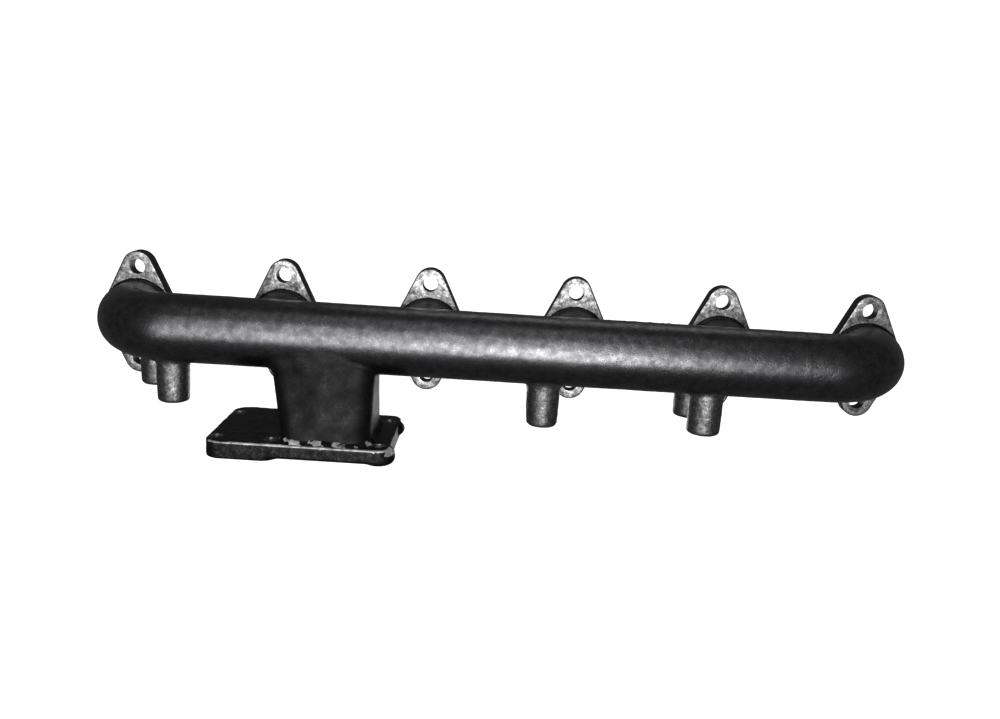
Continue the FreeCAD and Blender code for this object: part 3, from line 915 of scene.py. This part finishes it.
@dataclass
class Riser:
    """The divided riser under the log, the fillet at its top and the weld at its foot."""
    layout: Layout
    wall: float = 5.5 * MM
    top_below_axis: float = 10.0 * MM
    foot_lobe: float = 19.6 * MM
    foot_overlap: float = 1.6 * MM
    foot_half_depth: float = 43.95 * MM
    foot_corner: float = 19.1 * MM
    top_width: float = 93.2 * MM
    top_overlap: float = 44.0 * MM
    top_depth: float = 44.0 * MM
    top_corner: float = 14.0 * MM
    top_shift: float = -9.3 * MM
    foot_blend: float = 22.0 * MM        # how far the lobes run into each other
    top_blend: float = 26.0 * MM
    foot_leg: float = 4.0 * MM
    divider: float = 6.0 * MM
    stud_land: float = 0.6 * MM
    left_fillet: float = 9.5 * MM
    right_fillet: float = 2.5 * MM
    front_fillet: float = 9.0 * MM
    skin: Roughness = Roughness(18.0, 0.3 * MM, 4.5, 0.10 * MM)
    sides: int = 224

    def __post_init__(self) -> None:
        """Reads the foot, the studs and the top from the frame."""
        studs = mount("turbo_studs")
        self.foot = Vector(studs["pos_m"])
        self.foot.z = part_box("turbo_flange")[1].z
        wide, deep = (studs["dims"][f"spacing_{axis}_mm"] for axis in "xy")
        self.studs = [self.foot + Vector((right * wide, back * deep, 0)) * MM / 2
                      for right in (-1, 1) for back in (-1, 1)]
        self.stud_radius = studs["dims"]["hole_r_mm"] * MM
        self.top = Vector((self.foot.x + self.top_shift, self.layout.log_y, -self.top_below_axis))

    def distance(self, x: float, y: float, z: float) -> float:
        """Distance outside the duct's outer skin at a height, which is negative inside it."""
        t = (z - self.foot.z) / (self.top.z - self.foot.z)

        def mix(low: float, high: float) -> float:
            return low + (high - low) * t

        top_half = (self.top_width + self.top_overlap) / 4
        half_x = mix(self.foot_lobe, top_half)
        half_y = mix(self.foot_half_depth, self.top_depth / 2)
        corner = mix(self.foot_corner, self.top_corner)
        lobe_x = mix(self.foot_lobe - self.foot_overlap / 2, self.top_width / 2 - top_half)
        blend = mix(self.foot_blend, self.top_blend)
        reach_y = abs(y - mix(self.foot.y, self.top.y)) - half_y + corner
        found = []
        for side in (-1, 1):
            reach_x = abs(x - mix(self.foot.x, self.top.x) - side * lobe_x) - half_x + corner
            outside = math.hypot(max(reach_x, 0.0), max(reach_y, 0.0))
            found.append(outside + min(max(reach_x, reach_y), 0.0) - corner)
        overlap = max(blend - abs(found[0] - found[1]), 0.0) / blend
        return min(found) - overlap ** 2 * blend / 4

    def outline(self, angle: float, z: float, grow: float = 0.0) -> Vector:
        """The point of the duct's skin at an angle and height, grown outwards."""
        t = (z - self.foot.z) / (self.top.z - self.foot.z)
        x, y = self.foot.x + (self.top.x - self.foot.x) * t, self.foot.y + (self.top.y - self.foot.y) * t
        side, back = math.cos(angle), math.sin(angle)
        low, high = 5 * MM, 95 * MM
        for _ in range(22):
            middle = (low + high) / 2
            if self.distance(x + side * middle, y + back * middle, z) < grow:
                low = middle
            else:
                high = middle
        return Vector((x + side * low, y + back * low, z))

    def body(self, name: str, grow: float, bottom: float, top: float, rows: int) -> bpy.types.Object:
        """A closed body of the duct's shape between two heights."""
        middle = Vector((self.foot.x, self.foot.y, (bottom + top) / 2))
        body = bar(30 * MM, middle, top - bottom, Along.Z, self.sides)
        body.name = name
        edit_where(body, "EDGE", lambda edge: climb(body.data, edge) > MM)
        bpy.ops.mesh.subdivide(number_cuts=rows - 1)
        done_editing()
        for vertex in body.data.vertices:
            angle = math.atan2(vertex.co.y - middle.y, vertex.co.x - middle.x)
            vertex.co = self.outline(angle, vertex.co.z, grow)
        return body

    def cavity(self, bottom: float, top: float) -> bpy.types.Object:
        """The gas space inside the duct."""
        return self.body("riser_space", -self.wall, bottom, top, 12)

    def duct(self) -> None:
        """The duct, coped to the log."""
        duct = self.body("riser_duct", 0.0, self.foot.z, self.top.z, 48)

        def held(place: Vector) -> float:
            return min(1.0, max(0.0, (place.z - self.foot.z) / (10 * MM)))

        self.skin.raise_skin(duct, 61, held)
        cut(duct, self.cavity(self.foot.z - MM, self.top.z + MM))
        middle = Vector((self.foot.x, self.layout.log_y, 0))
        skin = bar(self.layout.tube_radius, middle, 160 * MM, Along.X, 180)
        cut(duct, skin)
        complete(duct, Finish.RISER_SKIN, 50, "riser_duct", "outlet_riser")

    def passage(self, depth: float) -> bpy.types.Object:
        """The gas space through the flange under the foot, in two halves beside the divider."""
        passage = bar(30 * MM, self.foot, 2 * depth, Along.Z, self.sides)
        for vertex in passage.data.vertices:
            angle = math.atan2(vertex.co.y - self.foot.y, vertex.co.x - self.foot.x)
            place = self.outline(angle, self.foot.z, -self.wall)
            vertex.co.x, vertex.co.y = place.x, place.y
        deselect()
        bpy.ops.mesh.primitive_cube_add(
            size=1, location=self.foot, scale=(self.divider, 4 * self.foot_half_depth, 3 * depth))
        web = bpy.context.object
        settle(web)
        cut(passage, web)
        return passage

    def top_fillet(self) -> None:
        """The blend between the duct and the log: wide on the left, tight on the right."""
        layout = self.layout

        def section(angle: float) -> list[Vector]:
            outside, inner = -1.2 * layout.tube_radius, -0.15 * layout.tube_radius
            for _ in range(30):
                z = (outside + inner) / 2
                if math.hypot(self.outline(angle, z).y - layout.log_y, z) > layout.tube_radius:
                    outside = z
                else:
                    inner = z
            side = math.cos(angle)
            ends = self.left_fillet if side < 0 else self.right_fillet
            size = self.front_fillet + (ends - self.front_fillet) * abs(side) ** 1.5
            corner = self.outline(angle, z)
            across = corner.y - layout.log_y
            out = (self.outline(angle, z, MM) - corner).normalized()
            wall = self.outline(angle, z - size, -0.10 * MM)
            floor = layout.under_log(corner.x + out.x * size, across, out.y * size, -0.12 * MM)
            inside = layout.under_log(corner.x - out.x * 1.2 * MM, across, -out.y * 1.2 * MM, -MM)
            return fillet_section(wall, corner, floor, inside, crown=-1.0, steps=13)

        fillet = ring("riser_top_blend", 240, section)
        complete(fillet, Finish.RISER_SKIN, 70, "riser_top_blend", "riser_saddle_weld")

    def foot_weld(self) -> None:
        """The dressed bead round the foot, thin where the nuts sit."""
        ripples = 44

        def section(angle: float) -> list[Vector]:
            ripple = 0.5 + 0.5 * math.cos(ripples * angle + 1.1 * math.sin(4 * angle))
            wave = noise.noise(Vector((math.cos(angle), math.sin(angle), 0.4)) * 4.5)
            leg = self.foot_leg * (0.80 + 0.10 * ripple + 0.35 * wave)
            corner = self.outline(angle, self.foot.z)
            floor = self.outline(angle, self.foot.z, leg)
            for stud in self.studs:
                off = floor - stud
                short = self.stud_radius + self.stud_land - off.length
                if short > 0:
                    floor = stud + off.normalized() * (self.stud_radius + self.stud_land)
            wall = self.outline(angle, self.foot.z + 0.9 * leg, -0.05 * MM)
            inside = self.outline(angle, self.foot.z, -MM) - Vector((0, 0, 0.6 * MM))
            floor.z = self.foot.z - 0.1 * MM
            return fillet_section(wall, corner, floor, inside, crown=0.15 + 0.25 * ripple)

        weld = ring("riser_foot_bead", 240, section)
        cast_surface(weld, 3.0, 0.5 * MM, 64)
        dress(weld, Finish.RISER_SKIN, Finish.FOOT_WELD)
        # painted highlight: bright glint patches on the front faces of the bead only
        front = self.foot.y - 0.75 * self.foot_half_depth
        dress_faces(weld, 1, lambda face: (
            face.center.y < front and noise.noise(face.center / (7 * MM)) > -0.05))
        smooth(weld, 60)
        hand_over(weld, "riser_foot_bead", ["riser_foot_weld"])

    def build(self) -> None:
        """Makes the duct, its top fillet and its foot weld."""
        self.duct()
        self.top_fillet()
        self.foot_weld()


# Turbocharger flange

@dataclass
class TurboFlange:
    """The plate that the turbocharger bolts to, with a pad at its left end and two lobes on its right."""
    riser: Riser
    edge_thickness: float = 12.0 * MM    # along the front edge and the rear lobe
    edge_relief: float = 8.0 * MM
    pad_overlap: float = 8.0 * MM
    pad_corner: float = 14.0 * MM
    lobe_radius: float = 15.0 * MM
    lobe_round: float = 6.5 * MM
    waist: float = 5.0 * MM
    waist_corner: float = 9.0 * MM
    skin_room: float = 0.35 * MM         # kept inside the plate's true sides for the rough skin
    highlight_band: float = 5.0 * MM          # how far behind the front edge the painted highlight runs
    skin: Roughness = Roughness(16.0, 0.6 * MM, 5.0, 0.2 * MM)
    voxel: float = 0.9 * MM

    def slab(self, low: Vector, high: Vector, corner: float) -> bpy.types.Object:
        """A level slab with round corners."""
        deselect()
        bpy.ops.mesh.primitive_cube_add(size=1, location=(low + high) / 2, scale=high - low)
        slab = bpy.context.object
        settle(slab)
        edit_where(slab, "EDGE", lambda edge: climb(slab.data, edge) > MM)
        bpy.ops.mesh.bevel(offset=corner, segments=12)
        done_editing()
        return slab

    def lobe(self, stud: Vector, thickness: float) -> bpy.types.Object:
        """A round lobe about a stud, with full round edges."""
        radius = self.lobe_radius - self.skin_room
        lobe = bar(radius, stud - Vector((0, 0, thickness / 2)), thickness, Along.Z, 64)
        edit_where(lobe, "EDGE", lambda edge: climb(lobe.data, edge) < 0.01 * MM)
        bpy.ops.mesh.bevel(offset=self.lobe_round, segments=6)
        done_editing()
        return lobe

    def blank(self) -> bpy.types.Object:
        """The plate's bodies, run together and worn round at every edge."""
        riser = self.riser
        room = Vector((self.skin_room, self.skin_room, 0))
        box_low, box_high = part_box("turbo_flange")
        low, high = box_low + room, box_high - room
        edge_low = Vector((low.x, low.y, high.z - self.edge_thickness))
        left_studs = min(stud.x for stud in riser.studs)
        waist_high = Vector((high.x - self.waist, high.y, high.z))
        bodies = [
            self.slab(edge_low, waist_high, self.pad_corner),
            self.slab(Vector((riser.foot.x, low.y, edge_low.z)), waist_high, self.waist_corner),
            self.slab(Vector((left_studs, low.y + self.edge_relief, low.z)), waist_high, self.waist_corner),
            self.slab(low, Vector((left_studs + self.pad_overlap, high.y, high.z)), self.pad_corner),
        ]
        for stud in riser.studs:
            if stud.x > riser.foot.x:
                in_front = stud.y < riser.foot.y
                bodies.append(self.lobe(stud, high.z - low.z if in_front else self.edge_thickness))
        pick(bodies[0])
        for body in bodies[1:]:
            body.select_set(True)
        bpy.ops.object.join()
        plate = bodies[0]
        modify(plate, "REMESH", mode="VOXEL", voxel_size=self.voxel, adaptivity=0.0)
        modify(plate, "SMOOTH", factor=0.5, iterations=12)

        def held(place: Vector) -> float:
            return min(1.0, max(0.0, (place.z - low.z - MM) / (4 * MM)))

        self.skin.raise_skin(plate, 71, held)
        return plate

    def build(self) -> None:
        """Makes, dresses and hands over the flange."""
        riser = self.riser
        low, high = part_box("turbo_flange")
        right_studs = max(stud.x for stud in riser.studs)
        plate = self.blank()
        holes = riser.studs + self.pad_holes()
        for stud in holes:
            hole = Vector((stud.x, stud.y, (low.z + high.z) / 2))
            cut(plate, bar(riser.stud_radius, hole, 40 * MM, Along.Z, 48))
        cut(plate, riser.passage(40 * MM))
        dress(plate, Finish.PLATE_SKIN, Finish.PLATE_SIDE, Finish.PLATE_EDGE, Finish.HEAD_FACE)

        def in_hole(place: Vector) -> bool:
            return any(math.hypot(place.x - hole.x, place.y - hole.y) < riser.stud_radius + 0.3 * MM
                       for hole in holes)

        knob = min((stud for stud in riser.studs if stud.x == right_studs), key=lambda stud: stud.y)

        # the front of the knob round the stud, which gets a painted glint
        def on_knob_glint(place: Vector) -> bool:
            reach = math.hypot(place.x - knob.x, place.y - knob.y)
            return reach > riser.stud_radius + 3 * MM and reach < self.lobe_radius and place.y < knob.y

        dress_faces(plate, 1, lambda face: abs(face.normal.z) < 0.8)
        # painted highlight: upward faces behind the front edge and round the knob get the bright finish
        dress_faces(plate, 2, lambda face: 0.2 < face.normal.z < 0.985 and (
            face.center.y < low.y + self.highlight_band or on_knob_glint(face.center)))
        dress_faces(plate, 3, lambda face: face.normal.z < -0.9 or in_hole(face.center))
        smooth(plate, 50)
        hand_over(plate, "turbo_plate", ["turbo_flange"])

    def pad_holes(self) -> list[Vector]:
        """Centres of the two holes in the pad."""
        entry = mount("pad_holes")
        middle, half = Vector(entry["pos_m"]), entry["dims"]["spacing_y_mm"] * MM / 2
        return [middle + Vector((0, back * half, 0)) for back in (-1, 1)]


# Bosses

@dataclass
class Boss:
    """A tapered boss under the log, tapped from below, with the fillet or weld at its root."""
    layout: Layout
    node: str
    tip: Vector
    tip_diameter: float
    root_diameter: float
    top_below_axis: float = 8.0 * MM
    tip_round: float = 3.2 * MM
    core: float = 8.5 * MM
    core_depth: float = 20.0 * MM
    chamfer: float = 1.2 * MM
    fillet: float = 3.6 * MM
    skin: Roughness = Roughness(11.0, 0.4 * MM, 3.5, 0.18 * MM)
    voxel: float = 0.75 * MM
    flash: bool = False

    def radius(self, z: float) -> float:
        """The boss's radius at a height."""
        t = (z - self.tip.z) / (-self.top_below_axis - self.tip.z)
        return (self.tip_diameter + (self.root_diameter - self.tip_diameter) * t) / 2

    def body(self) -> bpy.types.Object:
        """The tapered body with a rounded tip."""
        height = -self.top_below_axis - self.tip.z
        deselect()
        bpy.ops.mesh.primitive_cone_add(
            vertices=96, radius1=self.tip_diameter / 2, radius2=self.root_diameter / 2, depth=height,
            location=self.tip + Vector((0, 0, height / 2)))
        body = bpy.context.object
        settle(body)
        mesh = body.data
        edit_where(body, "EDGE", lambda edge: all(
            mesh.vertices[i].co.z < self.tip.z + 0.01 * MM for i in edge.vertices))
        bpy.ops.mesh.bevel(offset=self.tip_round, segments=5)
        done_editing()
        return body

    def ridge(self) -> bpy.types.Object:
        """The thin line of flash down the left of the boss."""
        height = -self.layout.tube_radius - self.tip.z - 2 * MM
        left = -0.93 * self.radius(self.tip.z + height / 2)
        middle = self.tip + Vector((left, -4.5 * MM, height / 2 + 7 * MM))
        deselect()
        bpy.ops.mesh.primitive_cube_add(
            size=1, location=middle, scale=(3.6 * MM, 2.2 * MM, height), rotation=(0, -0.05, 0.35))
        ridge = bpy.context.object
        settle(ridge)
        return ridge

    def build(self) -> None:
        """Makes, dresses and hands over the boss and its root fillet."""
        label = self.node.removeprefix("boss_")
        body = self.body()
        if self.flash:
            cut(body, self.ridge(), "UNION")
        modify(body, "REMESH", mode="VOXEL", voxel_size=self.voxel, adaptivity=0.0)
        modify(body, "SMOOTH", factor=0.5, iterations=6)
        self.skin.raise_skin(body, 80 + len(self.node))
        hole = bar(self.core / 2, self.tip + Vector((0, 0, self.core_depth / 2 - 2.5 * MM)),
                   self.core_depth + 5 * MM, Along.Z, 48)
        deselect()
        bpy.ops.mesh.primitive_cone_add(
            vertices=48, radius1=self.core / 2 + 2 * self.chamfer, radius2=self.core / 2 - 0.2 * MM,
            depth=2 * self.chamfer + 0.2 * MM, location=self.tip + Vector((0, 0, 0.1 * MM)))
        mouth = bpy.context.object
        settle(mouth)
        cut(hole, mouth, "UNION")
        cut(body, hole)
        skin = bar(self.layout.tube_radius - 0.3 * MM, Vector((self.tip.x, self.layout.log_y, 0)),
                   80 * MM, Along.X, 180)
        cut(body, skin)
        complete(body, Finish.BOSS_SKIN, 50, f"stub_{label}", self.node)
        self.root(label)

    def root(self, label: str) -> None:
        """The smooth blend from the boss into the log."""
        if abs(self.tip.y - self.layout.log_y) < MM:
            def section(angle: float) -> list[Vector]:
                out = Vector((math.cos(angle), math.sin(angle), 0))
                base = Vector((self.tip.x, self.tip.y, 0))
                size = self.fillet * (1 + 0.15 * noise.noise(out * 3 + base * 20))
                reach = self.radius(-0.9 * self.layout.tube_radius)
                across = out.y * reach
                corner = self.layout.under_log(base.x + out.x * reach, across)
                wall = base + out * (self.radius(corner.z - size) - 0.05 * MM)
                wall.z = corner.z - size
                floor = self.layout.under_log(
                    base.x + out.x * (reach + size), across, out.y * size, -0.10 * MM)
                inside = self.layout.under_log(base.x + out.x * (reach - MM), across, -out.y * MM, -MM)
                return fillet_section(wall, corner, floor, inside, crown=-1.0, steps=9)

            root = ring(f"root_{label}", 120, section)
        else:
            root = merged_copy(self.node.replace("boss_", "boss_weld_"))
            modify(root, "REMESH", mode="VOXEL", voxel_size=0.5 * MM, adaptivity=0.0)
            modify(root, "SMOOTH", factor=0.5, iterations=8)
        complete(root, Finish.BOSS_SKIN, 70,
                 f"root_{label}", self.node.replace("boss_", "boss_weld_"))


def bosses(layout: Layout) -> list[Boss]:
    """The five bosses at their threaded holes: the left pair is a little thinner."""
    diameters = {"left": (27.8 * MM, 29.2 * MM), "right": (29.5 * MM, 31.0 * MM)}
    found = []
    for row in ("front", "rear"):
        entry = mount(f"{row}_boss_holes")
        middle, half = Vector(entry["pos_m"]), entry["dims"]["spacing_x_mm"] * MM / 2
        for side, label in ((-1, "left"), (1, "right")):
            tip = middle + Vector((side * half, 0, 0))
            found.append(Boss(layout, f"boss_{row}_{label}", tip, *diameters[label]))
    middle_hole = Vector(mount("middle_boss_hole")["pos_m"])
    middle_hole.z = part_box("boss_middle")[0].z
    found.append(Boss(layout, "boss_middle", middle_hole, 27.3 * MM, 31.0 * MM, fillet=5.0 * MM, flash=True))
    return found


# Stage

@dataclass(frozen=True)
class SoftLight:
    """A soft rectangular lamp aimed at a point."""
    name: str
    place: tuple[float, float, float]
    aim: tuple[float, float, float]
    width: float
    height: float
    power: float

    def build(self) -> None:
        """Adds the lamp."""
        data = bpy.data.lights.new(self.name, "AREA")
        data.shape = "RECTANGLE"
        data.size, data.size_y, data.energy = self.width, self.height, self.power
        lamp = bpy.data.objects.new(self.name, data)
        bpy.context.scene.collection.objects.link(lamp)
        lamp.location = self.place
        lamp.visible_camera = False
        direction = Vector(self.aim) - Vector(self.place)
        lamp.rotation_euler = direction.to_track_quat("-Z", "Z").to_euler()


@dataclass
class Studio:
    """A pale floor, a near-white surround, soft lamps and the camera."""
    floor_size: float = 14.0
    pale: str = "#ffffff"
    surround: float = 1.04
    ambient: float = 0.09
    camera_place: tuple[float, float, float] = (4.3 * MM, -877.8 * MM, 183.4 * MM)
    look_down: float = 0.235       # radians below level
    turn: float = -0.004           # radians, to the left of +Y where positive
    lean: float = -0.061           # radians of roll
    lens: float = 34.24
    lights: list[SoftLight] = field(default_factory=lambda: [
        SoftLight("key_left", (-0.38, -1.05, -0.015), (-0.38, 0.0, -0.015), 0.66, 0.53, 5.1),
        SoftLight("key_middle", (0.10, -1.05, -0.015), (0.10, 0.0, -0.015), 0.34, 0.53, 6.8),
        SoftLight("key_right", (0.41, -1.05, -0.015), (0.41, 0.0, -0.015), 0.28, 0.53, 0.8),
        SoftLight("key_above", (-0.17, -1.05, 0.625), (-0.17, 0.0, 0.625), 1.00, 0.75, 6.6),
        SoftLight("overhead", (-0.1, -0.55, 1.2), (-0.1, -0.30, 0.0), 1.00, 0.70, 1.3),
        SoftLight("back", (0.2, 1.1, 1.5), (0.0, 0.0, 0.0), 1.2, 0.6, 2.0),
        SoftLight("back_low", (0.0, 1.5, -0.40), (0.0, 0.0, -0.40), 1.8, 0.5, 7.0),
    ])

    def floor(self) -> None:
        """A level floor under the part's lowest point."""
        deselect()
        bpy.ops.mesh.primitive_plane_add(size=self.floor_size, location=(0, 0, CAD_LOW.z))
        floor = bpy.context.object
        floor.name = "studio_floor"
        material, tree = new_material("studio_floor_paint")
        shader = add(tree, "BsdfPrincipled", inputs={
            "Base Color": linear(self.pale), "Roughness": 0.9,
            "Emission Color": linear(self.pale), "Emission Strength": self.surround})
        add(tree, "OutputMaterial", inputs={"Surface": shader.outputs["BSDF"]})
        floor.data.materials.append(material)
        floor.visible_glossy = False
        floor.visible_diffuse = False
        floor.visible_shadow = False

    def world(self) -> None:
        """A near-white surround to look at, which lights the part only dimly."""
        world = bpy.data.worlds.new("studio_surround")
        bpy.context.scene.world = world
        world.use_nodes = True
        tree = world.node_tree
        tree.nodes.clear()
        rays = add(tree, "LightPath").outputs["Is Camera Ray"]
        strength = add(tree, "MapRange", inputs=(rays, 0.0, 1.0, self.ambient, self.surround)).outputs[0]
        background = add(tree, "Background", inputs={"Color": linear(self.pale), "Strength": strength})
        add(tree, "OutputWorld", inputs={"Surface": background.outputs["Background"]})

    def camera(self) -> None:
        """The camera, in front of the part, a little above it and a little tilted."""
        data = bpy.data.cameras.new("studio_camera")
        data.lens, data.sensor_width = self.lens, 36.0
        data.clip_start, data.clip_end = 0.05, 50.0
        camera = bpy.data.objects.new("studio_camera", data)
        bpy.context.scene.collection.objects.link(camera)
        cp, sp = math.cos(self.look_down), math.sin(self.look_down)
        cy, sy = math.cos(self.turn), math.sin(self.turn)
        forward = Vector((sy * cp, cy * cp, -sp))
        level_right = Vector((cy, -sy, 0))
        level_down = forward.cross(level_right)
        cr, sr = math.cos(self.lean), math.sin(self.lean)
        right = level_right * cr + level_down * sr
        down = level_down * cr - level_right * sr
        turn = Matrix((right, -down, -forward)).transposed()
        camera.rotation_euler = turn.to_euler()
        camera.location = self.camera_place
        bpy.context.scene.camera = camera

    def build(self) -> None:
        """Adds everything round the part."""
        self.camera()
        self.floor()
        self.world()
        for light in self.lights:
            light.build()
        bpy.context.scene.view_settings.view_transform = "Standard"


def dress_frame() -> None:
    """Gives every CAD node a finish, so that none shows bare."""
    finishes = {
        "log_pipe": Finish.LOG_SKIN, "end_elbow": Finish.LOG_SKIN, "elbow_butt": Finish.LOG_SKIN,
        "port_flange": Finish.EAR_FACE, "flange_weld": Finish.COLLAR_WELD, "runner": Finish.LOG_SKIN,
        "outlet_riser": Finish.RISER_SKIN, "riser": Finish.RISER_SKIN, "turbo_flange": Finish.PLATE_SKIN,
        "boss": Finish.BOSS_SKIN,
    }
    for name, node in frame["nodes"].items():
        finish = next(value for start, value in finishes.items() if name.startswith(start))
        node.data.materials.clear()
        node.data.materials.append(finish.material)


def main() -> None:
    """Builds the studio and the manifold's sub-assemblies in order."""
    logging.basicConfig(level=logging.INFO, format="%(message)s")
    deselect()
    layout = Layout.read()
    Studio().build()
    dress_frame()
    HeadFlanges(layout).build()
    riser = Riser(layout)
    Tubes(layout).build(riser.cavity(riser.foot.z, riser.top.z))
    riser.build()
    TurboFlange(riser).build()
    for boss in bosses(layout):
        boss.build()


if __name__ == "__main__":
    main()
